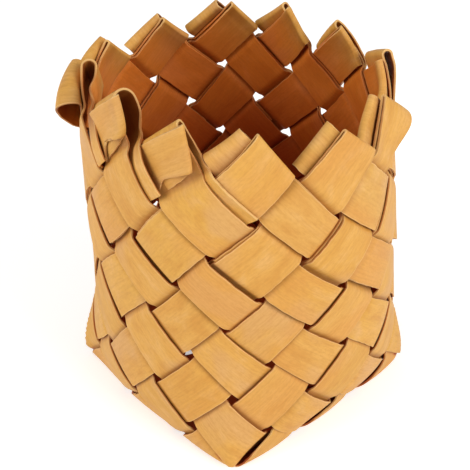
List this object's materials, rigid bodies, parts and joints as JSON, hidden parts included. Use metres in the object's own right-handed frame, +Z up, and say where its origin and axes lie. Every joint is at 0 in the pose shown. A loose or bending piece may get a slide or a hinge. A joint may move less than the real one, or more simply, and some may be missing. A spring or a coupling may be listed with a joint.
{
  "type": "woven basket",
  "caption": "Tall basket plaited on the diagonal from flat wood splints, with a square base, a round wall and a toothed rim of folded-back splint ends.",
  "frame": {"origin": "middle of the basket's outline seen from above, on the plane it rests on", "axes": "+Z up out of the mouth, +X and +Y square to the sides of the base"},
  "size_m": [0.1446, 0.1422, 0.178],
  "materials": {
    "splint_a1": "satin",
    "splint_a2": "satin",
    "splint_a3": "satin",
    "splint_a4": "satin",
    "splint_a5": "satin",
    "splint_a6": "satin",
    "splint_b1": "satin",
    "splint_b2": "satin",
    "splint_b3": "satin",
    "splint_b4": "satin",
    "splint_b5": "satin",
    "splint_b6": "satin"
  },
  "bodies": {
    "root": {"splint_a1": "splint_a1", "splint_a2": "splint_a2", "splint_a3": "splint_a3", "splint_a4": "splint_a4", "splint_a5": "splint_a5", "splint_a6": "splint_a6", "splint_b1": "splint_b1", "splint_b2": "splint_b2", "splint_b3": "splint_b3", "splint_b4": "splint_b4", "splint_b5": "splint_b5", "splint_b6": "splint_b6"}
  },
  "joints": []
}
